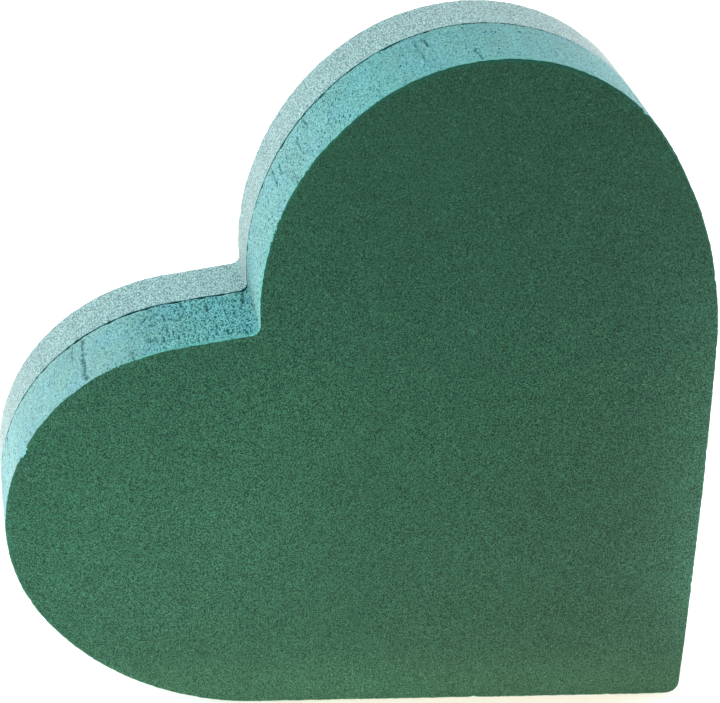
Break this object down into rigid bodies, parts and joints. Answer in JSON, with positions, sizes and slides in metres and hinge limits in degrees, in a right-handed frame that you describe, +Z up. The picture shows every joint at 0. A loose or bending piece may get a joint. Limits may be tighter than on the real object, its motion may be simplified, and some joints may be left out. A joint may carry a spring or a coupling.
{
  "type": "floral foam heart",
  "caption": "Heart-shaped wet floral foam block glued to a rigid flat backing board of the same outline, for holding cut flower stems.",
  "frame": {"origin": "centre of the bounding box in X and Y, on the floor under the standing flank", "axes": "+Z up, +X along the standing flank towards the heart's tip, -Y out of the foam's display face, +Y out of the back of the board"},
  "size_m": [0.2989, 0.058, 0.2816],
  "materials": {
    "green_foam": "fine open-cell phenolic foam, velvety dark green display face, light teal where freshly cut round the sides",
    "dark_adhesive": "thin matt dark teal glue line",
    "pale_board": "pale grey-teal hot-wire-cut polystyrene with a fine sparkling bead grain"
  },
  "bodies": {
    "root": {"foam_heart": "green_foam", "adhesive_film": "dark_adhesive", "backing_board": "pale_board"}
  },
  "joints": []
}
